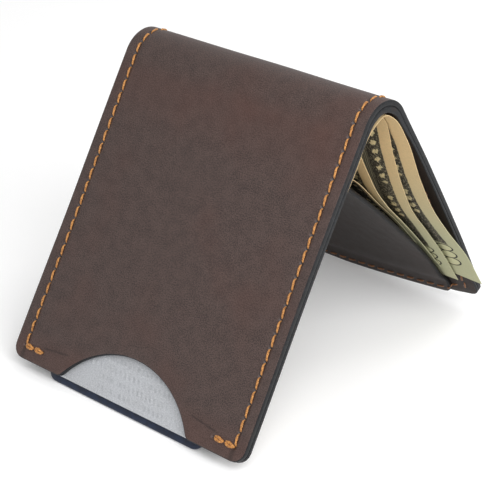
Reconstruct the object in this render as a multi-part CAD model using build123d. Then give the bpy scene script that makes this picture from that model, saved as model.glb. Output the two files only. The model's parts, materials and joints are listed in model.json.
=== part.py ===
"""A slim bifold wallet standing open as a tent, with two cards and four banknotes in it.

Frame: X runs along the fold, -Y is the front half, +Z is up. The origin is on the ground under the
middle of the whole object. A place on the wallet is given as s, the distance along the outer
surface from the top of the fold (negative on the front half, positive on the back half), and a
depth below the outer surface.
"""
import os
from math import atan2, cos, radians, sin, tan

from build123d import *

# ------------------------------------------------------------------ driving dimensions, mm
WIDTH = 79.2            # leather, along the fold
HALF_LENGTH = 94.4      # outer surface, from the top of the fold to a bottom edge
HALF_ANGLE = 32.3       # between each half and the tent's middle plane, degrees
FOLD_RADIUS = 8.6       # outer surface of the fold
CORNER_RADIUS = 3.4     # bottom corners of the leather
OUTER = 1.5             # outer leather
LINING = 1.3            # lining, glued and sewn to the outer leather
PANEL = 1.2             # each of the two loose pocket panels inside

CARD_WIDTH = 53.98      # a standard bank card
CARD_LENGTH = 85.6
CARD_THICKNESS = 0.76
CARD_CORNER = 3.18
CARD_OFFSET = -0.9      # the cards sit a little to the left of the middle
CARD_GAP = 0.1          # play between the cards and their pocket
SILVER_OUT = 0.35       # the cards stick out of the pocket by this much
NAVY_OUT = 2.2

NOTCH_RADIUS = 25.6     # thumb notch in the outer leather, a piece of a circle
NOTCH_DEPTH = 12.3

NOTE_WIDTH = 66.3       # banknotes, bent over the fold
NOTE_LENGTH = 156.0
NOTE_THICKNESS = 0.12
NOTE_PITCH = 0.16
NOTE_BACK_END = 80.0                    # where the notes end on the back half
NOTE_OUT = (4.6, -1.0, -1.6, -2.2)      # each note's back corner beyond the leather's right edge
NOTE_SKEW = 2.0         # the notes lie turned by this much on the leather, degrees

SEAM_INSET = 3.6        # seams from the long edges
STITCH_PITCH = 3.6
STITCH_LENGTH = 2.9
STITCH_WIDTH = 0.7
STITCH_DEPTH = 0.4      # the thread lies flush in a groove
GROOVE = 0.5            # groove depth, and half its width
FRONT_SEAM_END = -88.2  # both seams stop short of the front bottom edge
BACK_SEAM_END = 91.8    # and turn the corner on the back half
TACK_STITCHES = 2       # doubled stitches that turn inwards at the front seams' ends
TACK_SPREAD = 0.5       # half the distance between the two threads of a tack

PIVOT = 1.5 * STITCH_PITCH              # each bending line, from the top of the fold
CLOSING = 10.0                          # each bending line closes by this much, degrees
RELIEF = CLOSING / 2 + 1.0              # half angle of the groove that lets the fold close
RELIEF_TIP = 0.4                        # the groove's tip is this far above the surface

POCKET_INNER = 29.3     # half width of the card pocket's flat floor
POCKET_OUTER = 33.0     # half width where its slopes meet the leather again
PANEL_SETBACK = 7.6     # the pocket panels end short of the right edge
PANEL_FOOT = 2.0        # strip of the front panel sewn into the left seam
PANEL_RISE = 3.2        # width of its slope up over the card pocket and the notes
FRONT_PANEL_TOP = -20.0
PANEL_BOTTOM = 93.4
FLAP_LENGTH = 71.0      # back pocket panel, above its sewn strip
FLAP_STRIP = 6.0        # its sewn strip climbs clear of the notes over this length
FLAP_STRIP_ANGLE = 8.0  # degrees off the back half along the strip
FLAP_START = 4.0        # degrees off the back half where it leaves the strip
FLAP_END = 20.0         # degrees off the back half at its free edge

# ------------------------------------------------------------------ derived
ARC = radians(90 - HALF_ANGLE)
ARC_LENGTH = FOLD_RADIUS * ARC
SHELL = OUTER + LINING
SILVER_DEPTH = OUTER + CARD_GAP
NAVY_DEPTH = SILVER_DEPTH + CARD_THICKNESS + CARD_GAP
POCKET_FLOOR = NAVY_DEPTH + CARD_THICKNESS + CARD_GAP
POCKET_BACK = POCKET_FLOOR + LINING
NOTE_DEPTH = POCKET_BACK + 0.1          # first note, behind the card pocket and under the fold
NOTE_END_DEPTH = SHELL + 0.1            # first note where it meets the lining of the back half
PANEL_DEPTH = NOTE_DEPTH + len(NOTE_OUT) * NOTE_PITCH + 0.1
LEATHER_X = -NOTE_OUT[0] / 2            # keeps the whole object's middle at x = 0
RIGHT = LEATHER_X + WIDTH / 2
LEFT = LEATHER_X - WIDTH / 2
FRONT, BACK = -1, 1


def upright(s, depth):
    """(y, z) on the wallet before it leans, from the centre of the fold's arc."""
    turn = min(abs(s) / FOLD_RADIUS, ARC)
    run = abs(s) - FOLD_RADIUS * turn
    radius = FOLD_RADIUS - depth
    y = radius * sin(turn) + run * cos(turn)
    z = radius * cos(turn) - run * sin(turn)
    return (y if s > 0 else -y), z


FRONT_FOOT = upright(-HALF_LENGTH - NAVY_OUT, NAVY_DEPTH + CARD_THICKNESS)
BACK_FOOT = upright(HALF_LENGTH, SHELL)
LEAN = -atan2(BACK_FOOT[1] - FRONT_FOOT[1], BACK_FOOT[0] - FRONT_FOOT[0])


def leaned(point):
    """Turn a point about the X axis so that both feet are level."""
    y, z = point
    return y * cos(LEAN) - z * sin(LEAN), y * sin(LEAN) + z * cos(LEAN)


EDGES_Y = [leaned(upright(side * HALF_LENGTH, 0))[0] for side in (FRONT, BACK)]
SHIFT_Y = -sum(EDGES_Y) / 2
SHIFT_Z = -leaned(BACK_FOOT)[1]


def place(s, depth):
    """(y, z) in the part's frame of the point s along the leather and depth below its surface."""
    y, z = leaned(upright(s, depth))
    return y + SHIFT_Y, z + SHIFT_Z


def surface(s0, s1, depth):
    """Edges along the leather at one depth: straight on the halves, arcs in the fold."""
    stops = [s0] + [s for s in (-ARC_LENGTH, ARC_LENGTH) if s0 < s < s1] + [s1]
    edges = []
    for a, b in zip(stops, stops[1:]):
        start, middle, end = (place(s, depth) for s in (a, (a + b) / 2, b))
        bent = abs(a + b) / 2 < ARC_LENGTH
        edges.append(ThreePointArc(start, middle, end) if bent else Line(start, end))
    return edges


def prism(outline, x0, x1):
    """A solid with a (y, z) outline, from x0 to x1."""
    face = Plane.YZ * make_face(outline)
    return Pos(x0, 0, 0) * extrude(face, amount=x1 - x0, dir=(1, 0, 0))


def ribbon(s0, s1, d0, d1, x0=LEFT, x1=RIGHT):
    """A piece of a layer: s0 to s1 along the wallet, d0 to d1 deep, x0 to x1 across."""
    ends = [Line(place(s, d0), place(s, d1)) for s in (s0, s1)]
    return prism(surface(s0, s1, d0) + surface(s0, s1, d1) + ends, x0, x1)


def half_plane(side, depth=0.0):
    """The plane of one half at a depth: x across, y * side down the slope from the fold."""
    here = place(side * ARC_LENGTH, depth)
    above = place(side * ARC_LENGTH, depth - 1)
    outward = (0, above[0] - here[0], above[1] - here[1])
    return Plane(origin=(0, *here), x_dir=(1, 0, 0), z_dir=outward)


def down(side, s):
    """Local y, on half_plane, of the place s from the top of the fold."""
    return side * (s - ARC_LENGTH)


def sheet_outline(side, x0, x1, s0, s1, radius):
    """A rectangle on one half, with its two lower corners rounded."""
    y0, y1 = down(side, s0), down(side, s1)
    shape = Pos((x0 + x1) / 2, (y0 + y1) / 2) * Rectangle(x1 - x0, abs(y1 - y0))
    lower = shape.vertices().group_by(Axis.Y)[-1 if side == BACK else 0]
    return fillet(lower, radius)


def rounded(layer, side, x0=LEFT, x1=RIGHT, bottom=HALF_LENGTH):
    """A layer with the rounded bottom corners of one half."""
    reach = 30
    outline = sheet_outline(side, x0, x1, -reach, bottom, CORNER_RADIUS)
    keep = half_plane(side, reach) * extrude(outline, amount=2 * reach)
    return layer & keep


def relief(side):
    """The wedge of space inside the fold that lets one half close on it."""
    tip = Vector(*place(side * PIVOT, -RELIEF_TIP))
    deep = Vector(*place(side * PIVOT, FOLD_RADIUS))
    inward = deep - tip
    half = Vector(-inward.Y, inward.X) * tan(radians(RELIEF))
    corners = [tip, deep + half, deep - half]
    return prism(Polyline(*[(c.X, c.Y) for c in corners], close=True).edges(), -60, 60)


RELIEFS = relief(FRONT) + relief(BACK)
SEAM_LEFT = LEFT + SEAM_INSET
SEAM_RIGHT = RIGHT - SEAM_INSET


# ------------------------------------------------------------------ leather
def front_channel(section, bottom, top):
    """A section of (x, height above the outer surface) swept straight down the front half."""
    start = place(-top, 0)
    slope = Vector(0, *place(-bottom, 0)) - Vector(0, *start)
    face = Plane(origin=(0, *start), x_dir=(1, 0, 0), z_dir=slope) * make_face(Polyline(*section, close=True))
    return extrude(face, amount=slope.length, dir=slope)


def stepped(steps, thickness):
    """A closed section that follows (x, depth) steps and is one layer thick."""
    near = [(LEATHER_X + x, -depth) for x, depth in steps]
    far = [(x, height - thickness) for x, height in near]
    return near + far[::-1]


def outer_leather():
    """The outer leather in its three stretches, with the thumb notch in the front one."""
    front = rounded(ribbon(-HALF_LENGTH, -PIVOT, 0, OUTER), FRONT)
    notch_centre = down(FRONT, HALF_LENGTH - NOTCH_DEPTH + NOTCH_RADIUS)
    front -= half_plane(FRONT, 5) * extrude(Pos(LEATHER_X, notch_centre) * Circle(NOTCH_RADIUS), amount=10)
    fold = ribbon(-PIVOT, PIVOT, 0, OUTER)
    back = rounded(ribbon(PIVOT, HALF_LENGTH, 0, OUTER), BACK)
    layers = {"outer_front": front, "outer_fold": fold, "outer_back": back}
    return {name: seam_grooves(layer - RELIEFS) for name, layer in layers.items()}


def lining():
    """The lining: on the front half it stands off the outer leather and makes the card pocket."""
    steps = [(-WIDTH / 2, OUTER), (-POCKET_OUTER, OUTER), (-POCKET_INNER, POCKET_FLOOR)]
    steps += [(-x, depth) for x, depth in reversed(steps)]
    front = front_channel(stepped(steps, LINING), HALF_LENGTH, ARC_LENGTH)
    front += ribbon(-ARC_LENGTH, -PIVOT, OUTER, SHELL)
    wall_left, wall_right = LEATHER_X - POCKET_OUTER, LEATHER_X + POCKET_OUTER
    front += ribbon(-ARC_LENGTH, LINING - ARC_LENGTH, OUTER, POCKET_BACK, wall_left, wall_right)
    fold = ribbon(-PIVOT, PIVOT, OUTER, SHELL)
    back = ribbon(PIVOT, HALF_LENGTH, OUTER, SHELL)
    layers = {"lining_front": rounded(front, FRONT), "lining_fold": fold, "lining_back": rounded(back, BACK)}
    return {name: layer - RELIEFS for name, layer in layers.items()}


def front_panel():
    """Pocket panel behind the cards: it holds the front ends of the banknotes."""
    right = WIDTH / 2 - PANEL_SETBACK
    foot = PANEL_FOOT - WIDTH / 2
    steps = [(-WIDTH / 2, SHELL), (foot, SHELL), (foot + PANEL_RISE, PANEL_DEPTH), (right, PANEL_DEPTH)]
    panel = front_channel(stepped(steps, PANEL), PANEL_BOTTOM, -FRONT_PANEL_TOP)
    return rounded(panel, FRONT, x1=RIGHT - PANEL_SETBACK, bottom=PANEL_BOTTOM)


def back_panel():
    """Pocket panel of the back half: sewn along the bottom, bowed away from it towards the fold."""
    def step(start, length, off_angle):
        """A point further up the panel, at an angle off the back half."""
        direction = (uphill * cos(radians(off_angle))) + (inward * sin(radians(off_angle)))
        return start + direction * length

    inward = (Vector(*place(HALF_LENGTH, 1)) - Vector(*place(HALF_LENGTH, 0))).normalized()
    uphill = (Vector(*place(HALF_LENGTH - 1, 0)) - Vector(*place(HALF_LENGTH, 0))).normalized()
    bottom = Vector(*place(PANEL_BOTTOM, SHELL))
    leaves = step(bottom, FLAP_STRIP, FLAP_STRIP_ANGLE)
    middle = step(leaves, FLAP_LENGTH / 2, (3 * FLAP_START + FLAP_END) / 4)
    free = step(middle, FLAP_LENGTH / 2, (FLAP_START + 3 * FLAP_END) / 4)
    inner = [step(point, PANEL, 90 + angle) for point, angle in (
        (bottom, 0), (leaves, FLAP_STRIP_ANGLE), (middle, (FLAP_START + FLAP_END) / 2), (free, FLAP_END))]
    near = [(p.X, p.Y) for p in (bottom, leaves, middle, free)]
    far = [(p.X, p.Y) for p in inner]
    outline = [Line(near[0], near[1]), ThreePointArc(*near[1:]), Line(near[3], far[3])]
    outline += [ThreePointArc(*far[1:]), Line(far[0], far[1]), Line(near[0], far[0])]
    return prism(outline, LEFT, RIGHT - PANEL_SETBACK)


# ------------------------------------------------------------------ seams
def seam_grooves(layer):
    """Cut the grooves of both long seams, the front tacks and the back bottom seam."""
    run = (FRONT_SEAM_END - GROOVE, BACK_SEAM_END + GROOVE)
    for x in (SEAM_LEFT, SEAM_RIGHT):
        layer -= ribbon(*run, -1, GROOVE, x - GROOVE, x + GROOVE)
    tack = TACK_STITCHES * STITCH_PITCH + GROOVE
    rows = TACK_SPREAD + GROOVE
    for x in (SEAM_LEFT, SEAM_RIGHT - tack):
        layer -= ribbon(FRONT_SEAM_END - rows, FRONT_SEAM_END + rows, -1, GROOVE, x, x + tack)
    bottom = (BACK_SEAM_END - GROOVE, BACK_SEAM_END + GROOVE)
    return layer - ribbon(*bottom, -1, GROOVE, SEAM_LEFT, SEAM_RIGHT)


def long_stitches(x, s0, s1):
    """Stitches of a long seam between two places along the wallet."""
    count = round((s1 - s0) / STITCH_PITCH)
    gap = (STITCH_PITCH - STITCH_LENGTH) / 2
    half = STITCH_WIDTH / 2
    starts = [s0 + i * STITCH_PITCH + gap for i in range(count)]
    top = GROOVE - STITCH_DEPTH
    return [ribbon(s, s + STITCH_LENGTH, top, GROOVE, x - half, x + half) for s in starts]


def cross_stitches(s, x0, count):
    """Stitches of a seam that runs across the wallet at s, from x0 towards +X."""
    gap = (STITCH_PITCH - STITCH_LENGTH) / 2
    half = STITCH_WIDTH / 2
    starts = [x0 + i * STITCH_PITCH + gap for i in range(count)]
    top = GROOVE - STITCH_DEPTH
    return [ribbon(s - half, s + half, top, GROOVE, x, x + STITCH_LENGTH) for x in starts]


def seams():
    """All thread, as groups of separate stitches."""
    nodes = {}
    stretches = {"front": (FRONT_SEAM_END, -PIVOT), "fold": (-PIVOT, PIVOT), "back": (PIVOT, BACK_SEAM_END)}
    for name, x in (("left", SEAM_LEFT), ("right", SEAM_RIGHT)):
        for stretch, (s0, s1) in stretches.items():
            nodes[f"seam_{name}_{stretch}"] = long_stitches(x, s0, s1)
    tack = TACK_STITCHES * STITCH_PITCH
    for name, x0 in (("left", SEAM_LEFT + GROOVE), ("right", SEAM_RIGHT - GROOVE - tack)):
        rows = [FRONT_SEAM_END + side * TACK_SPREAD for side in (-1, 1)]
        nodes[f"tack_{name}_front"] = [s for row in rows for s in cross_stitches(row, x0, TACK_STITCHES)]
    inner_width = SEAM_RIGHT - SEAM_LEFT - STITCH_PITCH
    count = int(inner_width / STITCH_PITCH)
    first = LEATHER_X - count * STITCH_PITCH / 2
    nodes["seam_bottom_back"] = cross_stitches(BACK_SEAM_END, first, count)
    return nodes


# ------------------------------------------------------------------ contents
def card(depth, bottom):
    """A bank card in the front pocket, its lower edge at bottom."""
    middle = down(FRONT, bottom - CARD_LENGTH / 2)
    shape = Pos(LEATHER_X + CARD_OFFSET, middle) * RectangleRounded(CARD_WIDTH, CARD_LENGTH, CARD_CORNER)
    return half_plane(FRONT, depth + CARD_THICKNESS) * extrude(shape, amount=CARD_THICKNESS)


def note_right(s, out):
    """Right edge of a banknote at the place s: further in towards the front."""
    return RIGHT + out + (s - NOTE_BACK_END) * tan(radians(NOTE_SKEW))


def skewed(note, side, out):
    """Trim a stretch of a note on one half to its slanting edges."""
    corners = []
    for s in (0, HALF_LENGTH):
        right = note_right(side * s, out)
        corners.append(((right - NOTE_WIDTH, down(side, s)), (right, down(side, s))))
    outline = Polyline(*corners[0], *reversed(corners[1]), close=True)
    reach = 20
    return note & half_plane(side, reach) * extrude(make_face(outline), amount=2 * reach)


def note_back(depth, depth_end):
    """Back stretch of a banknote: it comes out of the fold and runs down to the lining."""
    outline = []
    ends = []
    for extra in (0, NOTE_THICKNESS):
        top = place(PIVOT, depth + extra)
        bottom = place(NOTE_BACK_END, depth_end + extra)
        outline += surface(PIVOT, ARC_LENGTH, depth + extra)
        outline.append(Line(place(ARC_LENGTH, depth + extra), bottom))
        ends.append((top, bottom))
    outline += [Line(near, far) for near, far in zip(*ends)]
    return prism(outline, -WIDTH, WIDTH)


def banknotes():
    """Four banknotes bent over the fold, each in the same three stretches as the leather."""
    nodes = {}
    for i, out in enumerate(NOTE_OUT):
        depth = NOTE_DEPTH + i * NOTE_PITCH
        under = depth + NOTE_THICKNESS
        front = ribbon(NOTE_BACK_END - NOTE_LENGTH, -PIVOT, depth, under, -WIDTH, WIDTH)
        back = note_back(depth, NOTE_END_DEPTH + i * NOTE_PITCH)
        right = note_right(0, out)
        name = f"banknote_{i + 1}"
        nodes[f"{name}_front"] = skewed(front, FRONT, out) - RELIEFS
        nodes[f"{name}_fold"] = ribbon(-PIVOT, PIVOT, depth, under, right - NOTE_WIDTH, right) - RELIEFS
        nodes[f"{name}_back"] = skewed(back, BACK, out) - RELIEFS
    return nodes


nodes = {**outer_leather(), **lining(), **seams(), **banknotes()}
nodes["pocket_panel_front"] = front_panel()
nodes["pocket_panel_back"] = back_panel()
nodes["silver_card"] = card(SILVER_DEPTH, HALF_LENGTH + SILVER_OUT)
nodes["navy_card"] = card(NAVY_DEPTH, HALF_LENGTH + NAVY_OUT)

os.makedirs("parts", exist_ok=True)
for name, solids in nodes.items():
    shape = Compound(children=solids) if isinstance(solids, list) else solids
    export_step(shape, f"parts/{name}.step")

for side in (FRONT, BACK):
    print("bending line", side, [round(c, 4) for c in place(side * PIVOT, 0)])
print("lean, degrees", LEAN * 57.29578, "shift", SHIFT_Y, SHIFT_Z)
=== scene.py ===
"""Looks of a slim bifold leather wallet that stands open as a tent, with two cards and four banknotes.

Lengths are in millimetres until a mesh is made. A place on the wallet is (x, s, depth): x across
from the middle of the leather, s along the outer surface from the top of the fold (negative on the
front half, positive on the back half), and the depth below that surface.
"""
import json
import math
import random

import bmesh
import bpy
import numpy as np
from mathutils import Matrix, Vector
from mathutils.geometry import delaunay_2d_cdt

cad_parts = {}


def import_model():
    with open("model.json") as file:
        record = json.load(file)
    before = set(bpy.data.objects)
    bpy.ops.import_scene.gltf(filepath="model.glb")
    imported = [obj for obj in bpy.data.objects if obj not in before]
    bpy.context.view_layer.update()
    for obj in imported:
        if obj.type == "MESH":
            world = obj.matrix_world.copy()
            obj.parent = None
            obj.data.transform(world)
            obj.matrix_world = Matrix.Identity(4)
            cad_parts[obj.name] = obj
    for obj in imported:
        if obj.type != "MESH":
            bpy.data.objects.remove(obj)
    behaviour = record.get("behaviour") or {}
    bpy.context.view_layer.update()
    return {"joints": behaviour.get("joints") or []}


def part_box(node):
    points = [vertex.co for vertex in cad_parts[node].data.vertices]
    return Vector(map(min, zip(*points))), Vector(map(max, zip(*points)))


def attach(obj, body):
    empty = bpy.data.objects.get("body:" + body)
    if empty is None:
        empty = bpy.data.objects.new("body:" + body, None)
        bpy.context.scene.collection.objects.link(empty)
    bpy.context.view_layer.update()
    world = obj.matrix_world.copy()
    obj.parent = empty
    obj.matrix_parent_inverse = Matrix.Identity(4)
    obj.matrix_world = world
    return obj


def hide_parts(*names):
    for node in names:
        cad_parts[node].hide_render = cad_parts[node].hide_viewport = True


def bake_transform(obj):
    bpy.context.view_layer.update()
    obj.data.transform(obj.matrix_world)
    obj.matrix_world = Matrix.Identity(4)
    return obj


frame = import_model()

MM = 0.001
RANDOM = random.Random(7)

# ------------------------------------------------------------------ the part's driving dimensions
WIDTH, HALF_LENGTH = 79.2, 94.4
HALF_ANGLE, FOLD_RADIUS, CORNER = 32.3, 8.6, 3.4
OUTER, LINING, PANEL = 1.5, 1.3, 1.2
CARD_WIDTH, CARD_LENGTH, CARD_THICKNESS, CARD_CORNER = 53.98, 85.6, 0.76, 3.18
CARD_OFFSET, CARD_GAP, SILVER_OUT, NAVY_OUT = -0.9, 0.1, 0.35, 2.2
NOTCH_RADIUS, NOTCH_DEPTH = 25.6, 12.3
CREASE_LINE, CREASE_MIDDLE = -85.9, 25.5      # the painted crease shade beside the tacks: s, and distance from the middle
# The strokes on the silver card.
STROKE_ROW, STROKE_PITCH, STROKE_LEAN, STROKE_HEIGHT, FIRST_ROW = 2.7, 1.5, 0.35, 0.14, 9.6
NOTE_WIDTH, NOTE_LENGTH, NOTE_THICKNESS, NOTE_PITCH = 66.3, 156.0, 0.12, 0.17
# A note's print: how far each band reaches from the edge, then the scrolls and loops.
MARGIN, BORDER_END, RULES_END, PRINT_END = 4.6, 10.0, 12.3, 16.0
SCROLL_LINE, SCROLL_PITCH = 6.9, 2.9
LOOPS, LOOP_REACH, LOOP_HEIGHT = (13.6, 10.2, 6.8), 3.2, 1.9
SEAM_INSET, PITCH = 3.6, 3.6
FRONT_END, BACK_END, PIVOT = -90.8, 91.8, 5.4
FRONT_STITCHES = 25
TACK_PITCH, TACK_BOW, TACK_RADIUS = 3.35, 0.4, 0.36
TACK_LENGTH = 2 * TACK_PITCH
FOOT_LIFT = 5.2             # how much shorter the back half has become at its open corner
POCKET_INNER, POCKET_OUTER = 29.3, 33.0
# The pocket panels inside.
PANEL_SETBACK, PANEL_BOTTOM, PANEL_CORNER = 7.6, 93.4, 2.5
FRONT_PANEL_TOP, FLAP_TOP = -20.0, 17.0

HALF = WIDTH / 2
SEAM = HALF - SEAM_INSET
SHELL = OUTER + LINING
SILVER_DEPTH = OUTER + CARD_GAP
NAVY_DEPTH = SILVER_DEPTH + CARD_THICKNESS + CARD_GAP
FRONT_PITCH = (-FRONT_END - PITCH / 2) / FRONT_STITCHES
TACK_STARTS = (-SEAM - 0.4, SEAM - TACK_LENGTH)
POCKET_FLOOR = NAVY_DEPTH + CARD_THICKNESS + CARD_GAP
NOTE_STACK = 0.64           # room for the notes between the lining and the front panel
PANEL_DEPTH = POCKET_FLOOR + LINING + NOTE_STACK + 2 * 0.1
ARC = math.radians(90 - HALF_ANGLE)
MAP_SIZE = 100              # millimetres on a piece's flat map to one unit of its UV map
FRONT, BACK = -1, 1
BEND_END, BEND_STEP = 10, 0.45      # the leather bends up to here and is divided this finely
FLAT_STEP = 1.6
BEND_REACH = 3.8                    # how far on each side of a bending line the two points of fold_lines lie


# ------------------------------------------------------------------ places
def upright(s, depth):
    """(y, z) on the wallet before it leans, from the centre of the fold's arc."""
    s, depth = np.asarray(s, float), np.asarray(depth, float)
    turn = np.minimum(np.abs(s) / FOLD_RADIUS, ARC)
    run = np.abs(s) - FOLD_RADIUS * turn
    radius = FOLD_RADIUS - depth
    y = np.sign(s) * (radius * np.sin(turn) + run * np.cos(turn))
    return np.stack(np.broadcast_arrays(y, radius * np.cos(turn) - run * np.sin(turn)), -1)


def lean_and_shift():
    """The rotation and move that put the upright wallet on the frame's two bending lines."""
    hinges = {j["name"]: np.array(j["pos_m"][1:]) / MM for j in frame["joints"] if j["type"] == "hinge"}
    real = hinges["fold_back"] - hinges["fold_front"]
    drawn = upright(PIVOT, 0) - upright(-PIVOT, 0)
    angle = math.atan2(real[1], real[0]) - math.atan2(drawn[1], drawn[0])
    turn = np.array([[math.cos(angle), -math.sin(angle)], [math.sin(angle), math.cos(angle)]])
    middle = (hinges["fold_back"] + hinges["fold_front"]) / 2
    return turn, middle - turn @ upright([-PIVOT, PIVOT], 0).mean(0)


LEAN, SHIFT = lean_and_shift()
LEATHER_X = sum(corner.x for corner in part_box("outer_front")) / 2 / MM


def place(s, depth):
    """(y, z) in the row frame, in mm."""
    return upright(s, depth) @ LEAN.T + SHIFT


def world(x, s, depth):
    """Points in the row frame, in metres."""
    return row_points(x, place(s, depth))


def row_points(x, yz):
    """Points in the row frame, in metres, from x across and (y, z) in mm."""
    x = np.broadcast_to(np.asarray(x, float) + LEATHER_X, yz.shape[:-1])
    return np.concatenate([x[..., None], yz], -1) * MM


def worn(x, s, depth):
    """Points on the leather itself, which has spread at its front foot and bowed out behind."""
    foot = smooth(-np.asarray(s), 50, 92)
    open_end = 0.35 * smooth(x, 10, HALF) * smooth(s, -4, 10)
    bow = 0.6 * smooth(s, 6, 32) * smooth(-np.asarray(s), -93, -64)
    return world(x * (1 + 0.012 * foot) + open_end, s - 0.3 * foot - lifted(x, s), depth - bow)


def lifted(x, s):
    """The back half's lower edge slants up towards the open end."""
    share = np.clip((np.asarray(x) + 14) / 50, 0, 1)
    return FOOT_LIFT * smooth(s, 45, HALF_LENGTH) * share * (0.6 + 0.4 * share)


def smooth(value, start, end):
    """0 before start, 1 after end, and smooth between them."""
    t = np.clip((np.asarray(value, float) - start) / (end - start), 0, 1)
    return t * t * (3 - 2 * t)


def spline(points, step=0.4):
    """A smooth line through 2-D points, as closely spaced points."""
    points = np.array(points, float)
    gaps = np.linalg.norm(np.diff(points, axis=0), axis=1)
    slopes = np.diff(points, axis=0) / gaps[:, None]
    inner = (slopes[1:] * gaps[:-1, None] + slopes[:-1] * gaps[1:, None]) / (gaps[:-1] + gaps[1:])[:, None]
    tangents = np.vstack([slopes[:1], inner, slopes[-1:]])
    line = []
    for i, gap in enumerate(gaps):
        t = np.arange(0, 1, min(0.5, step / gap))[:, None]
        a, b = points[i], points[i + 1]
        bend = (t ** 3 - 2 * t ** 2 + t) * tangents[i] + (t ** 3 - t ** 2) * tangents[i + 1]
        line.append((2 * t ** 3 - 3 * t ** 2 + 1) * a + (3 * t ** 2 - 2 * t ** 3) * b + bend * gap)
    return np.vstack([*line, points[-1:]])


# ------------------------------------------------------------------ meshes
def new_object(name, points, faces, materials, slots=None, flat=None):
    """A smooth mesh object from points in metres. flat gives each point a place on a map, in mm."""
    mesh = bpy.data.meshes.new(name)
    mesh.from_pydata([tuple(p) for p in points], [], [tuple(int(i) for i in f) for f in faces])
    for material in materials:
        mesh.materials.append(material)
    if slots is not None:
        mesh.polygons.foreach_set("material_index", np.array(slots, np.int32))
    if flat is not None:
        corners = np.zeros(len(mesh.loops), np.int32)
        mesh.loops.foreach_get("vertex_index", corners)
        layer = mesh.uv_layers.new(name="flat")
        places = np.asarray(flat, float)[corners] / MAP_SIZE
        layer.data.foreach_set("uv", places.astype(np.float32).ravel())
    mesh.shade_smooth()
    mesh.set_sharp_from_angle(angle=math.radians(50))
    mesh.validate()
    obj = bpy.data.objects.new(name, mesh)
    bpy.context.scene.collection.objects.link(obj)
    return obj


def finish_piece(obj, body, nodes=(), fold=None):
    """Tie a piece to its body, or, when fold is given, bake its place into its mesh and leave it loose; then
    hide the parts it stands for.
    """
    if fold is None:
        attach(obj, body)
    else:
        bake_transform(obj)
    if nodes:
        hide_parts(*nodes)
    return obj


def grid(x_stops, s_stops):
    """All (x, s) pairs of two lists."""
    x, s = np.meshgrid(x_stops, s_stops)
    return np.stack([x.ravel(), s.ravel()], -1)


def stops(start, end, step):
    """Evenly spaced numbers from start to end, at most step apart."""
    return np.linspace(start, end, max(2, int(math.ceil(abs(end - start) / step)) + 1))


def inside(points, ring, margin):
    """Those of the points that lie inside a closed ring and further than margin from it."""
    a, b = ring, np.roll(ring, -1, 0)
    keep = []
    for chunk in np.array_split(points, max(1, len(points) // 2000)):
        p = chunk[:, None]
        crosses = (a[:, 1] > p[..., 1]) != (b[:, 1] > p[..., 1])
        rise = np.where(b[:, 1] == a[:, 1], 1e-9, b[:, 1] - a[:, 1])
        at = a[:, 0] + (p[..., 1] - a[:, 1]) * (b - a)[:, 0] / rise
        odd = (crosses & (p[..., 0] < at)).sum(1) % 2 == 1
        edge = b - a
        t = np.clip(((p - a) * edge).sum(-1) / np.maximum((edge ** 2).sum(-1), 1e-12), 0, 1)
        far = np.linalg.norm(p - a - t[..., None] * edge, axis=-1).min(1) > margin
        keep.append(chunk[odd & far])
    return np.vstack(keep)


def triangles(ring, spots):
    """Triangles, counter-clockwise, between a closed ring and the spots inside it."""
    points = [Vector(p) for p in np.vstack([ring, spots])]
    made = delaunay_2d_cdt(points, [], [list(range(len(ring)))], 1, 1e-6)
    origins = [sources[0] for sources in made[3]]
    return [[origins[v] for v in face] for face in made[2]]


def arc(centre, radius, start, end, step=0.8):
    """(x, s) points round a circle, from start to end in degrees."""
    count = max(3, int(abs(math.radians(end - start)) * radius / step))
    turns = np.radians(np.linspace(start, end, count))
    return np.stack([centre[0] + radius * np.cos(turns), centre[1] + radius * np.sin(turns)], -1)


def ring_of(corners, step=1.0):
    """A closed counter-clockwise ring through lists of points, with its long runs divided."""
    points = np.vstack(corners)
    ring = []
    for a, b in zip(points, np.roll(points, -1, 0)):
        for t in stops(0, 1, step / max(np.linalg.norm(b - a), 1e-6))[:-1]:
            ring.append(a + (b - a) * t)
    ring = np.array(ring)
    area = (ring[:, 0] * np.roll(ring[:, 1], -1) - np.roll(ring[:, 0], -1) * ring[:, 1]).sum()
    return ring if area > 0 else ring[::-1]


ROUNDED_EDGE = [(0.42, 0), (0.22, 0.02), (0.09, 0.08), (0.02, 0.2), (0, 0.36)]
ROUNDED_EDGE += [(0, 0.68), (0.03, 0.84), (0.11, 0.94), (0.28, 1.0)]
CARD_EDGE = [(0.16, 0), (0.05, 0.06), (0, 0.2), (0, 0.8), (0.05, 0.94), (0.16, 1.0)]


def inwards(ring):
    """Unit vectors into a counter-clockwise ring; none across the cut at the top of the fold."""
    along = np.roll(ring, -1, 0) - np.roll(ring, 1, 0)
    normal = np.stack([-along[:, 1], along[:, 0]], -1)
    normal /= np.linalg.norm(normal, axis=1)[:, None]
    cut = np.abs(ring[:, 1]) < 1e-6
    corner = cut & (np.abs(ring[:, 0]) > np.abs(ring[cut, 0]).max() - 1e-6) if cut.any() else cut
    normal[cut] = 0
    normal[corner, 0] = -np.sign(ring[corner, 0])
    return normal


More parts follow.
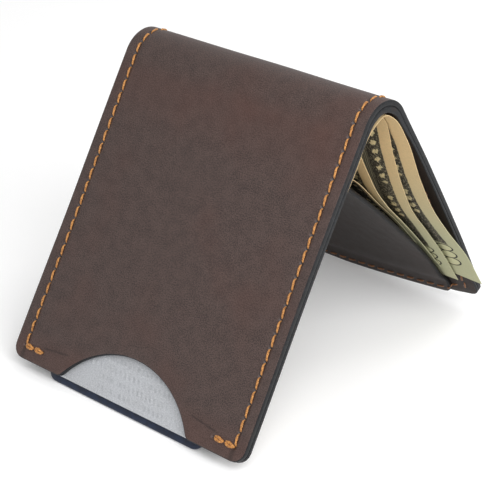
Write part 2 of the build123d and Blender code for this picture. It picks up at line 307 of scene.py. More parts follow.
def slab(name, ring, spots, top, thickness, materials, profile=ROUNDED_EDGE, back_step=2.5, at=worn):
    """A closed sheet. top(x, s) and thickness(x, s) are in mm; materials are its two faces and its edge."""
    normal = inwards(ring)
    levels, flats = [], []
    for inset, share in profile:
        flat = ring + normal * inset
        levels.append(at(flat[:, 0], flat[:, 1], top(*flat.T) + share * thickness(*flat.T)))
        flats.append(flat)
    count, last = len(ring), len(profile) - 1
    spots = inside(spots, flats[0], 0.12)
    low, high = ring.min(0), ring.max(0)
    rear_grid = grid(stops(low[0], high[0], back_step), stops(low[1], high[1], back_step))
    rear_grid = np.vstack([rear_grid, grid(stops(low[0], high[0], back_step), np.arange(-9.5, 9.6, 0.5))])
    rear = inside(rear_grid, flats[-1], 0.3)
    first_spot, first_rear = count * len(profile), count * len(profile) + len(spots)
    levels += [at(*spots.T, top(*spots.T)), at(*rear.T, top(*rear.T) + thickness(*rear.T))]
    flats += [spots, rear]

    def front_index(v):
        return v if v < count else first_spot + v - count

    def rear_index(v):
        return last * count + v if v < count else first_rear + v - count

    faces = [[front_index(v) for v in f] for f in triangles(flats[0], spots)]
    slots = [0] * len(faces)
    for f in triangles(flats[last], rear):
        faces.append([rear_index(v) for v in f[::-1]])
        slots.append(1)
    for level in range(last):
        for i in range(count):
            j = (i + 1) % count
            above, below = level * count, (level + 1) * count
            faces.append([above + i, below + i, below + j, above + j])
            slots.append(0 if level == 0 else 2)
    return new_object(name, np.vstack(levels), faces, materials, slots, np.vstack(flats))


def tube(points, across, up, radii, sides=10, twist=0.0):
    """Rings of a thread along points in (x, s, depth), closed at both ends."""
    turns = np.linspace(0, 2 * math.pi, sides, endpoint=False)
    rings = []
    for i, (point, radius) in enumerate(zip(points, radii)):
        ply = radius * (1 + 0.13 * np.cos(2 * (turns - twist * i)))
        rings.append(point + np.outer(ply * np.cos(turns), across) + np.outer(ply * np.sin(turns), up))
    rows = len(points)
    faces = []
    for row in range(rows - 1):
        here, there = row * sides, (row + 1) * sides
        for i in range(sides):
            j = (i + 1) % sides
            faces.append([here + i, here + j, there + j, there + i])
    faces += [list(range(sides))[::-1], [(rows - 1) * sides + i for i in range(sides)]]
    return np.vstack(rings), faces


def stitch(start, end, depth, out, radius=0.28, bow=0.0):
    """One stitch between two holes in (x, s); out is -1 on the outer side and 1 on the inner side."""
    start, end = np.array(start, float), np.array(end, float)
    t = np.linspace(0, 1, 13)[:, None]
    dive = np.abs(2 * t - 1) ** 5
    along = (end - start) / np.linalg.norm(end - start)
    flat = start + (end - start) * t + np.array([-along[1], along[0]]) * bow * np.sin(math.pi * t)
    level = depth(flat[:, 0], flat[:, 1])[:, None] + out * (0.12 - 0.85 * dive)
    across = np.array([-along[1], along[0], 0]) * out
    radii = radius * (1 - 0.3 * np.abs(2 * t[:, 0] - 1) ** 3)
    return tube(np.hstack([flat, level]), across, np.array([0, 0, 1.0]), radii, twist=0.55)


def thread(name, stitches, at=worn):
    """All the stitches of one seam as one mesh."""
    points, faces, total = [], [], 0
    for rings, quads in stitches:
        points.append(rings)
        faces += [[v + total for v in quad] for quad in quads]
        total += len(rings)
    points = np.vstack(points)
    # stitches on the inside take the darker copy of the thread, which is painted shade
    material = SHADED_THREAD if name.endswith("_inside") else THREAD
    return new_object(name, at(*points.T), faces, [material], flat=points[:, :2])


# ------------------------------------------------------------------ materials
def srgb(*levels):
    """A linear colour from 0..255 display levels."""
    shares = [level / 255 for level in levels]
    return [*[c / 12.92 if c <= 0.04045 else ((c + 0.055) / 1.055) ** 2.4 for c in shares], 1.0]


class Paint:
    """A material's node tree, put together call by call."""

    def __init__(self, name, **shader):
        self.material = bpy.data.materials.new(name)
        self.material.use_nodes = True
        self.tree = self.material.node_tree
        self.shader = self.tree.nodes["Principled BSDF"]
        self.set(self.shader, shader)

    def set(self, node, inputs):
        """Set or link inputs; a name of the form i0 is a place in the list of inputs."""
        for key, value in inputs.items():
            socket = node.inputs[int(key[1:])] if key[1:].isdigit() else node.inputs[key.replace("_", " ")]
            if isinstance(value, bpy.types.NodeSocket):
                self.tree.links.new(value, socket)
            else:
                socket.default_value = value

    def node(self, kind, out=0, props=None, **inputs):
        node = self.tree.nodes.new("ShaderNode" + kind)
        for key, value in (props or {}).items():
            setattr(node, key, value)
        self.set(node, inputs)
        return node.outputs[out]

    def map(self):
        """Places on the piece's flat map, in mm."""
        uv = self.node("UVMap", props={"uv_map": "flat"})
        return self.node("Mapping", Vector=uv, Scale=[MAP_SIZE] * 3)

    def solid(self):
        """Places in space at rest, in mm."""
        return self.node("Mapping", Vector=self.node("TexCoord", 3), Scale=[1 / MM] * 3)

    def across_and_along(self, flat):
        """The two numbers of a place on the flat map."""
        return self.node("SeparateXYZ", 0, Vector=flat), self.node("SeparateXYZ", 1, Vector=flat)

    def math(self, operation, a, b=0.0, c=0.0):
        return self.node("Math", props={"operation": operation}, i0=a, i1=b, i2=c)

    def plus(self, a, b):
        return self.math("ADD", a, b)

    def times(self, a, b):
        return self.math("MULTIPLY", a, b)

    def between(self, a, b):
        """How far apart two numbers are."""
        return self.math("ABSOLUTE", self.math("SUBTRACT", a, b))

    def beat(self, value, length):
        """How much of the present length value has passed, from 0 to 1, over and over."""
        return self.math("FRACT", self.math("DIVIDE", value, length))

    def noise(self, vector, scale, detail=4.0, roughness=0.55):
        return self.node("TexNoise", Vector=vector, Scale=scale, Detail=detail, Roughness=roughness)

    def cells(self, vector, scale, feature="F1"):
        return self.node("TexVoronoi", props={"feature": feature}, Vector=vector, Scale=scale)

    def step(self, value, start, end, low=0.0, high=1.0):
        """low before start, high after end."""
        return self.node("MapRange", props={"interpolation_type": "SMOOTHSTEP"}, Value=value,
                         From_Min=start, From_Max=end, To_Min=low, To_Max=high)

    def window(self, value, start, full, fading, end):
        """1 from full to fading, 0 before start and after end."""
        return self.times(self.step(value, start, full), self.step(value, end, fading))

    def mix(self, factor, a, b):
        return self.node("Mix", 2, {"data_type": "RGBA"}, i0=factor, i6=a, i7=b)

    def bump(self, height, distance, strength=1.0):
        return self.node("Bump", Height=height, Distance=distance * MM, Strength=strength)

    def done(self, **inputs):
        self.set(self.shader, inputs)
        return self.material


def leather(name, dark, light, red, redness, gloss):
    """Smooth, waxed leather: fine grain, cloudy colour, redder where it is pulled, with painted shade beside
    the seams and along the creases by the tacks.
    """
    paint = Paint(name, Specular_IOR_Level=0.42, Coat_Weight=0.08, Coat_Roughness=0.38)
    flat = paint.map()
    x, s = paint.across_and_along(flat)
    mottle = paint.noise(flat, 0.3, 4.0, 0.6)
    grain = paint.noise(flat, 3.4, 3.0, 0.7)
    pores = paint.cells(flat, 1.9, "SMOOTH_F1")
    tone = paint.plus(paint.step(grain, 0.36, 0.64), paint.step(mottle, 0.3, 0.7, -0.12, 0.12))
    base = paint.mix(tone, dark, light)
    base = paint.mix(paint.times(pull(paint, flat, s), redness), base, red)
    # painted shade: darker beside the seams, where they pull the leather into grooves
    base = paint.mix(seam_shade(paint, x), base, srgb(24, 17, 15))
    # painted shade along the creases beside the tacks
    base = paint.mix(painted_crease_shade(paint, x, s), base, srgb(30, 20, 18))
    height = paint.plus(paint.times(grain, 0.8), paint.times(pores, 0.4))
    rough = paint.step(mottle, 0.25, 0.8, gloss - 0.04, gloss + 0.08)
    return paint.done(Base_Color=base, Roughness=rough, Normal=paint.bump(height, 0.1, 0.6))


def pull(paint, flat, s):
    """How much the leather is stretched: in clouds, below the crest of the fold and at its feet."""
    clouds = paint.noise(flat, 0.045, 2.0, 0.5)
    reach = paint.math("ABSOLUTE", s)
    crest = paint.window(reach, 8.0, 14.0, 15.0, 30.0)
    return paint.plus(paint.step(clouds, 0.45, 0.75), paint.plus(crest, paint.step(reach, 84.0, 91.0)))


def seam_shade(paint, x):
    """Painted shade beside the two long seams, where they pull the leather into grooves."""
    from_seam = paint.between(paint.math("ABSOLUTE", x), SEAM)
    return paint.step(from_seam, 0.9, 0.3, 0.0, 0.45)


def painted_crease_shade(paint, x, s):
    """Painted shade along a faint, slightly slanted crease from each tack towards the middle."""
    reach = paint.math("ABSOLUTE", x)
    from_line = paint.between(paint.math("MULTIPLY_ADD", reach, 0.12, s), CREASE_LINE)
    from_middle = paint.between(reach, CREASE_MIDDLE)
    return paint.times(paint.step(from_middle, 5.0, 3.5), paint.step(from_line, 0.45, 0.1, 0.0, 0.5))


def edge_paint(name, dark, light):
    """Dark, blue-grey edge paint with the layers' fibres showing faintly."""
    paint = Paint(name, Specular_IOR_Level=0.22)
    space = paint.solid()
    fibres = paint.noise(space, 1.3, 5.0, 0.7)
    specks = paint.noise(space, 0.35, 2.0, 0.5)
    colour = paint.mix(paint.step(fibres, 0.32, 0.72), dark, light)
    colour = paint.mix(paint.step(specks, 0.55, 0.75, 0.0, 0.5), colour, srgb(44, 36, 32))
    return paint.done(Base_Color=colour, Roughness=paint.step(fibres, 0.2, 0.9, 0.42, 0.62),
                      Normal=paint.bump(fibres, 0.12, 0.6))


def waxed_thread(name, dark, light):
    """Waxed thread."""
    paint = Paint(name, Specular_IOR_Level=0.4, Sheen_Weight=0.15)
    space = paint.solid()
    strands = paint.noise(space, 3.0, 3.0, 0.6)
    colour = paint.mix(paint.step(strands, 0.3, 0.75), dark, light)
    return paint.done(Base_Color=colour, Roughness=0.55, Normal=paint.bump(strands, 0.08, 0.7))


def silver_plastic():
    """Satin silver card with a fine metallic speckle."""
    paint = Paint("silver_card", Metallic=0.25, Specular_IOR_Level=0.45)
    flat = paint.map()
    speckle = paint.noise(flat, 2.6, 4.0, 0.8)
    drift = paint.noise(flat, 0.12, 2.0, 0.5)
    colour = paint.mix(paint.step(speckle, 0.3, 0.7), srgb(158, 161, 165), srgb(204, 205, 208))
    colour = paint.mix(paint.step(drift, 0.3, 0.7, 0.0, 0.25), colour, srgb(196, 200, 206))
    colour = paint.mix(card_strokes(paint, flat), colour, srgb(120, 123, 128))
    return paint.done(Base_Color=colour, Roughness=paint.step(speckle, 0.2, 0.8, 0.4, 0.55),
                      Normal=paint.bump(speckle, 0.03, 0.5))


def card_strokes(paint, flat):
    """Rows of short strokes in a slightly darker tone, fainter in places."""
    x, s = paint.across_and_along(flat)
    row = paint.beat(paint.plus(s, HALF_LENGTH - 0.2), STROKE_ROW)
    place_in_row = paint.beat(paint.math("MULTIPLY_ADD", s, STROKE_LEAN, x), STROKE_PITCH)
    stroke = paint.window(place_in_row, 0.3, 0.5, 0.75, 0.95)
    stroke = paint.times(stroke, paint.window(row, 0.25, 0.4, 0.7, 0.85))
    patchy = paint.step(paint.noise(flat, 0.5, 2.0), 0.4, 0.6, 0.05, 0.3)
    return paint.times(stroke, paint.times(paint.window(x, -12, -9, 12, 15), patchy))


def navy_plastic():
    """Glossy navy card."""
    paint = Paint("navy_card", Specular_IOR_Level=0.4, Coat_Weight=0.25, Coat_Roughness=0.12)
    flat = paint.map()
    drift = paint.noise(flat, 0.6, 3.0, 0.6)
    colour = paint.mix(paint.step(drift, 0.3, 0.7), srgb(12, 22, 42), srgb(22, 36, 62))
    return paint.done(Base_Color=colour, Roughness=paint.step(drift, 0.2, 0.8, 0.3, 0.42),
                      Normal=paint.bump(paint.noise(flat, 4.0, 2.0, 0.5), 0.01, 0.4))


def printed_paper():
    """Banknote paper: a pale margin, a dark engraved border with pale scrolls, fine lines and a toned
    field. The map holds the distance from the long right edge and from the back short edge."""
    paint = Paint("banknote_paper", Specular_IOR_Level=0.3)
    flat = paint.map()
    across, along = paint.across_and_along(flat)
    fibre = paint.noise(flat, 1.5, 5.0, 0.7)
    edge = note_edge(paint, flat, across, along)
    warm = paint.mix(paint.step(along, 14.0, 62.0), srgb(180, 180, 146), srgb(214, 186, 140))
    paper = paint.mix(paint.step(fibre, 0.3, 0.75, 0.0, 0.25), warm, srgb(158, 152, 122))
    ink = engraved_border(paint, flat, fibre, edge, along)
    ink = paint.mix(past(paint, edge, BORDER_END), ink, ruled_lines(paint, edge))
    ink = paint.mix(past(paint, edge, RULES_END), ink, toned_field(paint, across, along))
    ink = paint.mix(paint.step(along, PRINT_END + 0.5, PRINT_END - 0.5), ink, paper)
    colour = paint.mix(past(paint, edge, MARGIN), paper, ink)
    for middle in LOOPS:
        colour = add_loop(paint, colour, across, along, middle)
    return paint.done(Base_Color=colour, Roughness=0.82, Normal=paint.bump(fibre, 0.03, 0.5))


def past(paint, value, limit):
    """1 past a limit and 0 before it, with a short soft edge."""
    return paint.step(value, limit - 0.1, limit + 0.1)


def note_edge(paint, flat, across, along):
    """The distance from a note's nearest edge, with a small wobble."""
    wobble = paint.times(paint.math("SUBTRACT", paint.noise(flat, 0.7, 3.0), 0.5), 0.5)
    edge = paint.math("MINIMUM", across, paint.math("SUBTRACT", NOTE_WIDTH, across))
    edge = paint.math("MINIMUM", edge, paint.math("SUBTRACT", NOTE_LENGTH, along))
    return paint.plus(edge, wobble)


def engraved_border(paint, flat, fibre, edge, along):
    """The dark border, with pale scrolls along two stretches of it."""
    etching = paint.cells(flat, 1.7)
    ink = paint.mix(paint.step(etching, 0.1, 0.6), srgb(150, 143, 120), srgb(66, 62, 54))
    ink = paint.mix(paint.step(fibre, 0.35, 0.7, 0.0, 0.6), ink, srgb(58, 55, 49))
    beat = paint.math("SUBTRACT", paint.beat(paint.plus(along, paint.times(edge, 0.5)), SCROLL_PITCH), 0.5)
    swirl = paint.times(paint.math("SUBTRACT", paint.noise(flat, 0.9, 2.0), 0.5), 3.2)
    reach = paint.math("ABSOLUTE", paint.plus(paint.times(beat, 3.4), swirl))
    height = paint.math("DIVIDE", paint.math("SUBTRACT", edge, SCROLL_LINE), 1.35)
    reach = paint.plus(reach, paint.times(height, height))
    stretches = paint.plus(paint.window(along, 32.0, 33.0, 42.0, 43.0), paint.step(along, 47.0, 48.0))
    pale = paint.mix(paint.step(fibre, 0.4, 0.7), srgb(232, 216, 170), srgb(176, 168, 130))
    return paint.mix(paint.times(paint.step(reach, 1.0, 0.8), stretches), ink, pale)


def ruled_lines(paint, edge):
    """Fine lines along the inside of the border."""
    rules = paint.math("SINE", paint.times(edge, 9.0))
    return paint.mix(paint.step(rules, -0.2, 0.5), srgb(92, 88, 76), srgb(164, 158, 134))


def toned_field(paint, across, along):
    """The note's middle: waves in two green-grey tones."""
    sway = paint.times(paint.math("SINE", paint.times(across, 1.3)), 2.0)
    waves = paint.math("SINE", paint.plus(paint.times(along, 5.5), sway))
    return paint.mix(paint.step(waves, -0.4, 0.9), srgb(112, 114, 98), srgb(160, 160, 134))


def add_loop(paint, colour, across, along, middle):
    """An empty oval with a dark rim, in the corner of a note."""
    tilt = paint.plus(along, paint.times(paint.math("SUBTRACT", across, SCROLL_LINE), 0.3))
    spot = paint.node("CombineXYZ", X=paint.math("DIVIDE", across, LOOP_REACH),
                      Y=paint.math("DIVIDE", tilt, LOOP_HEIGHT))
    centre = (SCROLL_LINE / LOOP_REACH, middle / LOOP_HEIGHT, 0)
    away = paint.node("VectorMath", 1, {"operation": "DISTANCE"}, i0=spot, i1=centre)
    colour = paint.mix(paint.step(away, 1.0, 0.95), colour, srgb(196, 194, 156))
    return paint.mix(paint.step(paint.between(away, 0.9), 0.13, 0.06), colour, srgb(52, 50, 44))


LEATHER = leather("outer_leather", srgb(42, 32, 30), srgb(88, 71, 66), srgb(84, 51, 42), 0.24, 0.47)
FLESH = leather("lining_leather", srgb(24, 17, 15), srgb(42, 31, 27), srgb(44, 26, 20), 0.2, 0.72)
EDGE = edge_paint("edge_paint", srgb(14, 15, 17), srgb(38, 39, 42))
PANEL_EDGE = edge_paint("panel_edge_paint", srgb(8, 8, 9), srgb(22, 22, 24))
THREAD = waxed_thread("waxed_thread", srgb(128, 78, 30), srgb(218, 154, 82))
# A darker copy of the same waxed thread: painted shade for the stitches inside the wallet.
SHADED_THREAD = waxed_thread("shaded_thread", srgb(70, 42, 20), srgb(152, 96, 46))
PAPER = printed_paper()
SILVER = silver_plastic()
NAVY = navy_plastic()


# ------------------------------------------------------------------ leather
def swell(x, s):
    """The leather's slow waves, outwards only."""
    wave = np.sin(x / 11 + 1.1) * np.sin(s / 15 + 0.6) + 0.5 * np.sin(x / 5.3 + s / 7.1)
    return -0.05 * (wave + 1.5)


def seam_dip(across, along, start, end, pitch=PITCH):
    """How far a seam pulls the leather in: a shallow groove with a hole between each two stitches."""
    nearest = start + np.clip(np.round((along - start) / pitch), 0, round((end - start) / pitch)) * pitch
    inside_ends = smooth(along, start - 0.8, start) * smooth(-along, -end - 0.8, -end)
    groove = 0.2 * np.exp(-(across / 0.75) ** 2) * inside_ends
    return groove + 0.6 * np.exp(-(across ** 2 + (along - nearest) ** 2) / 0.36 ** 2)


def outer_top(x, s):
    """Depth of the outer leather's surface."""
    across, down = np.abs(x) - SEAM, np.abs(s)
    front = seam_dip(across, down, PITCH / 2, -FRONT_END, FRONT_PITCH)
    for x0 in TACK_STARTS:
        front = front + 0.9 * seam_dip(s - FRONT_END, x, x0, x0 + TACK_LENGTH, TACK_PITCH)
    back = seam_dip(across, down, PITCH / 2, BACK_END) + seam_dip(s - BACK_END, x, -SEAM, SEAM)
    return np.minimum(np.where(s < 0, front, back), 0.75) + swell(x, s)


def outer_thickness(x, s):
    """The outer leather's thickness, less where a seam pulls its surface in."""
    return OUTER - outer_top(x, s) + swell(x, s)


def pocket_rise(x, s):
    """How far the lining of the front half stands off to make room for the cards."""
    rise = smooth(-np.abs(x), -POCKET_OUTER - 0.4, -POCKET_INNER + 0.4) * smooth(-s, 5.2, 8.6)
    return (POCKET_FLOOR - OUTER) * rise


def lining_top(x, s):
    """Depth of the side of the lining that faces the outer leather."""
    return OUTER + pocket_rise(x, s) + swell(x, s)


def lining_thickness(x, s):
    """The lining is fuller round the fold and skived thin towards the back half's edges."""
    fold = smooth(-np.abs(s), -11, -4)
    skived = smooth(np.abs(x), HALF - 9, HALF - 1) * smooth(s, 10, 22)
    return LINING + 0.45 * fold - 0.55 * skived


def whole(side):
    """Outline of one half of the leather, from the top of the fold down to its rounded corners."""
    low = HALF_LENGTH - CORNER
    left = arc((CORNER - HALF, low), CORNER, 180, 90)
    right = arc((HALF - CORNER, low), CORNER, 90, 0)
    middle = notch() if side == FRONT else np.empty((0, 2))
    fold = [(-HALF, s) for s in np.arange(0, BEND_END, BEND_STEP)]
    points = np.vstack([fold, left, middle, right, [(-x, s) for x, s in reversed(fold)]])
    return ring_of([points * (1, side)])


def notch():
    """The thumb notch, with softened tips, on the way from left to right along the bottom edge."""
    rise = NOTCH_RADIUS - NOTCH_DEPTH
    reach = math.degrees(math.acos(rise / NOTCH_RADIUS))
    curve = arc((0, HALF_LENGTH + rise), NOTCH_RADIUS, -90 - reach, -90 + reach, 0.6)
    left, right = soft_tip(curve[0], curve[2], -1), soft_tip(curve[-1], curve[-3], 1)
    return np.vstack([left, curve[3:-3], right[::-1]])


def soft_tip(tip, up_the_curve, outward):
    """A small bend from the bottom edge into the notch."""
    start = np.array([tip[0] + outward * 1.1, HALF_LENGTH])
    t = np.linspace(0, 1, 6)[:, None]
    return (1 - t) ** 2 * start + 2 * t * (1 - t) * tip + t ** 2 * up_the_curve


def seam_spots(side):
    """Closely spaced points along the seams, so that grooves and holes have a shape."""
    offsets = np.array([-1.5, -1.05, -0.7, -0.42, -0.2, 0, 0.2, 0.42, 0.7, 1.05, 1.5])
    end = BACK_END if side == BACK else -FRONT_END
    along = np.arange(0.15, end + 1.4, 0.3) * side
    spots = [grid(offsets + seam, along) for seam in (-SEAM, SEAM)]
    if side == BACK:
        spots.append(grid(np.arange(1.8 - SEAM, SEAM - 1.6, 0.3), offsets + end))
    else:
        reach = np.arange(1.8, TACK_LENGTH + 1.4, 0.3)
        spots += [grid(hand * (SEAM - reach), offsets - end) for hand in (-1, 1)]
    return np.vstack(spots)


def base_spots(side, clear_of=None):
    """A plain grid over one half, closer in the fold and clear of other spots."""
    lengths = [np.arange(BEND_STEP, BEND_END, BEND_STEP), np.arange(BEND_END, HALF_LENGTH, FLAT_STEP)]
    spots = grid(stops(-HALF, HALF, FLAT_STEP), np.concatenate(lengths) * side)
    if clear_of is None:
        return spots
    cell = FLAT_STEP / 2
    near = {(round(x / cell), round(s / cell)) for x, s in clear_of}
    around = [(i, j) for i in (-1, 0, 1) for j in (-1, 0, 1)]
    free = [not any((round(x / cell) + i, round(s / cell) + j) in near for i, j in around) for x, s in spots]
    return spots[free]


def fold_lines(side):
    """The fold's name and two points, BEND_REACH on either side of a half's bending line, from the half's
    side towards the fold.
    """
    start, end = world(0, side * (PIVOT + BEND_REACH), 0), world(0, side * (PIVOT - BEND_REACH), 0)
    return "fold", tuple(start), tuple(end)


def leather_half(side, word):
    """Outer leather and lining of one half."""
    body, fine = f"{word}_half", seam_spots(side)
    spots = np.vstack([base_spots(side, fine), fine])
    outer = slab(f"leather_outer_{word}", whole(side), spots, outer_top, outer_thickness,
                 [LEATHER, FLESH, EDGE])
    finish_piece(outer, body, [f"outer_{word}", "outer_fold"], fold_lines(side))
    plain = ring_of([whole(BACK) * (1, side)])
    inner = slab(f"leather_lining_{word}", plain, base_spots(side), lining_top, lining_thickness,
                 [FLESH, FLESH, EDGE])
    finish_piece(inner, body, [f"lining_{word}", "lining_fold"], fold_lines(side))


# ------------------------------------------------------------------ pocket panels
def front_panel_top(x, s):
    """The front panel leaves the left seam and passes behind the cards and the banknotes."""
    return SHELL + (PANEL_DEPTH - SHELL) * smooth(x, 1.0 - HALF, 5.4 - HALF) + swell(x, s)


FLAP_RIGHT = spline([(15, 20), (31, 14.6), (48, 9.8), (66, 5.7), (78, 3.9), (90, 3), (96, 2.9)])


def opening(x):
    """How much of the bow at the open right end there is at x: none at the sewn left end."""
    return np.clip((np.asarray(x, float) + 35) / 67, 0, 1)


def flap_top(x, s):
    """The back panel: sewn along the left and the bottom, bowed away at the open right end."""
    right = np.interp(s, *FLAP_RIGHT.T)
    left = SHELL + 1.05 * smooth(x, 1.0 - HALF, 5.0 - HALF) * smooth(-s, -88, -82)
    share = opening(x)
    return left + (right - SHELL) * share * (1 - 0.12 * np.sin(share * math.pi)) - 0.02


def flap_at(x, s, depth):
    """Points on the back panel, whose lower edge slants up towards the open end."""
    across = np.clip((x + HALF) / (WIDTH - PANEL_SETBACK), 0, 1)
    foot = smooth(s, 60, 93)
    sag = 0.5 * foot * np.sin(math.pi * across)
    return world(x, s + foot * 0.9 * (1 - across ** 2) - lifted(x, s), depth + sag)


def panel_outline(side, top, radius):
    """Outline of a pocket panel, which ends short of the right edge."""
    right, low = HALF - PANEL_SETBACK, PANEL_BOTTOM
    points = [arc((radius - HALF, top + radius), radius, 270, 180),
              arc((CORNER - HALF, low - CORNER), CORNER, 180, 90),
              arc((right - PANEL_CORNER, low - PANEL_CORNER), PANEL_CORNER, 90, 0),
              arc((right - radius, top + radius), radius, 0, -90)]
    return ring_of([np.vstack(points) * (1, side)])


def even(thickness):
    """The same thickness everywhere, as a function of the place."""
    return lambda x, s: np.full(np.shape(x), thickness)


def panels():
    """The two pocket panels."""
    finish = [FLESH, FLESH, PANEL_EDGE]
    spots = grid(stops(-HALF, HALF, 1.5), stops(FRONT_PANEL_TOP, -PANEL_BOTTOM, 2.0))
    outline = panel_outline(FRONT, -FRONT_PANEL_TOP, 1.5)
    panel = slab("leather_panel_front", outline, spots, front_panel_top, even(PANEL), finish, at=world)
    finish_piece(panel, "front_half", ["pocket_panel_front"])
    spots = grid(stops(-HALF, HALF, 1.5), stops(FLAP_TOP, PANEL_BOTTOM, 1.5))
    outline = panel_outline(BACK, FLAP_TOP, PANEL_CORNER)
    flap = slab("leather_panel_back", outline, spots, flap_top, even(PANEL), finish, back_step=1.5,
                at=flap_at)
    finish_piece(flap, "back_half", ["pocket_panel_back"])


# ------------------------------------------------------------------ seams
SLANT, HOLE = 0.2, 0.12


def lengthwise(x, s0, count, depth, out, side, pitch=PITCH):
    """Stitches along a long seam, slanted a little across it."""
    made, reach = [], pitch / 2 - HOLE
    for i in range(count):
        middle = s0 + side * (i + 0.5) * pitch
        jitter = RANDOM.uniform(-0.06, 0.06)
        start, end = (x + SLANT + jitter, middle - reach), (x - SLANT + jitter, middle + reach)
        made.append(stitch(start, end, depth, out))
    return made


def crosswise(s, x0, count, depth, out, slant=SLANT, pitch=PITCH, **shape):
    """Stitches along a seam that runs across the wallet."""
    reach = pitch / 2 - HOLE
    middles = [x0 + (i + 0.5) * pitch for i in range(count)]
    return [stitch((m - reach, s + slant), (m + reach, s - slant), depth, out, **shape) for m in middles]


def inner_depth(x, s):
    """Depth of the inmost leather under the thread: lining, or the panel sewn to it."""
    lining = lining_top(x, s) + lining_thickness(x, s)
    front = np.where((s < FRONT_PANEL_TOP) & (x < HALF - PANEL_SETBACK), front_panel_top(x, s) + PANEL, 0)
    back = np.where((s > FLAP_TOP) & (x < HALF - PANEL_SETBACK), flap_top(x, s) + PANEL, 0)
    return np.maximum(lining, np.maximum(front, back))


def outer_depth(x, s):
    """Depth of the outer surface along a seam, without its holes."""
    return swell(x, s) + 0.1


def long_seam(word, x):
    """One long seam, outside and inside, on both halves and over the fold."""
    for half, side, pitch in (("front", FRONT, FRONT_PITCH), ("back", BACK, PITCH)):
        count = FRONT_STITCHES if side == FRONT else round((BACK_END - PITCH / 2) / PITCH)
        for layer, depth, out in (("", outer_depth, -1), ("_inside", inner_depth, 1)):
            rows = lengthwise(x, side * PITCH / 2, count, depth, out, side, pitch)
            obj = thread(f"thread_{word}_{half}{layer}", rows)
            nodes = [] if layer else [f"seam_{word}_{half}"]
            finish_piece(obj, f"{half}_half", nodes, fold_lines(side))
    tops = lengthwise(x, -PITCH / 2, 1, outer_depth, -1, BACK)
    tops += lengthwise(x, -PITCH / 2, 1, inner_depth, 1, BACK)
    finish_piece(thread(f"thread_{word}_fold", tops), "fold", [f"seam_{word}_fold"])


def tack(word, start):
    """Doubled stitches that turn inwards at the end of a front seam."""
    made = []
    for bow in (-TACK_BOW, TACK_BOW):
        made += crosswise(FRONT_END, start, 2, outer_depth, -1, pitch=TACK_PITCH, radius=TACK_RADIUS,
                          bow=bow)
    finish_piece(thread(f"thread_tack_{word}", made), "front_half", [f"tack_{word}_front"])


def seams():
    """All thread, outside and inside."""
    for word, x, start in (("left", -SEAM, TACK_STARTS[0]), ("right", SEAM, TACK_STARTS[1])):
        long_seam(word, x)
        tack(word, start)
    count = int((2 * SEAM - PITCH) / PITCH)
    first = -count * PITCH / 2
    bottom = thread("thread_bottom", crosswise(BACK_END, first, count, outer_depth, -1))
    finish_piece(bottom, "back_half", ["seam_bottom_back"])
    inside_rows = crosswise(BACK_END - 1.0, first, count, inner_depth, 1)
    finish_piece(thread("thread_bottom_inside", inside_rows, flap_at), "back_half")


# ------------------------------------------------------------------ cards
def card_ring(bottom):
    """Outline of a card whose lower edge is at bottom."""
    left, right = CARD_OFFSET - CARD_WIDTH / 2, CARD_OFFSET + CARD_WIDTH / 2
    top, r = bottom - CARD_LENGTH, CARD_CORNER
    corners = [arc((left + r, top + r), r, 270, 180, 0.3), arc((left + r, bottom - r), r, 180, 90, 0.3),
               arc((right - r, bottom - r), r, 90, 0, 0.3), arc((right - r, top + r), r, 0, -90, 0.3)]
    return ring_of([np.vstack(corners) * (1, FRONT)])


def raised_marks(x, s):
    """Rows of small slanted strokes pressed up in the card: no letters, only their rhythm."""
    height = np.zeros(np.shape(x))
    for row, (start, end, pitch) in enumerate(((-9, 12, 1.5), (-13, 9, 1.7), (-6, 15, 1.4), (-2, 18, 1.6))):
        across = x + STROKE_LEAN * (s + HALF_LENGTH) - start
        along = (np.abs(s + HALF_LENGTH) - FIRST_ROW + row * STROKE_ROW) / 0.85
        beat = np.abs((across / pitch) % 1 - 0.5) / 0.24
        stroke = smooth(-beat, -1.0, -0.5) * smooth(-np.abs(along), -1.0, -0.6)
        height += stroke * ((across > 0) & (across < end - start))
    return STROKE_HEIGHT * height


def silver_top(x, s):
    """Depth of the silver card's face."""
    return SILVER_DEPTH - raised_marks(x, s)


def silver_thickness(x, s):
    """The silver card is thicker where a stroke is pressed up."""
    return CARD_THICKNESS + raised_marks(x, s)


def cards():
    """The silver card behind the notch, and the navy card that sticks out below it."""
    low = -HALF_LENGTH
    fine = grid(np.arange(-23, 23, 0.34), np.arange(low - 0.5, low + 13.2, 0.34))
    plain = grid(stops(-27, 27, 3), stops(low + 15, low + CARD_LENGTH, 3))
    silver = slab("card_silver", card_ring(HALF_LENGTH + SILVER_OUT), np.vstack([fine, plain]), silver_top,
                  silver_thickness, [SILVER] * 3, CARD_EDGE, 6, world)
    finish_piece(silver, "silver_card", ["silver_card"])
    spots = grid(stops(-27, 28, 2.5), stops(low - 1, low + CARD_LENGTH, 2.5))
    navy = slab("card_navy", card_ring(HALF_LENGTH + NAVY_OUT), spots, even(NAVY_DEPTH),
                even(CARD_THICKNESS), [NAVY] * 3, CARD_EDGE, 6, world)
    finish_piece(navy, "navy_card", ["navy_card"])


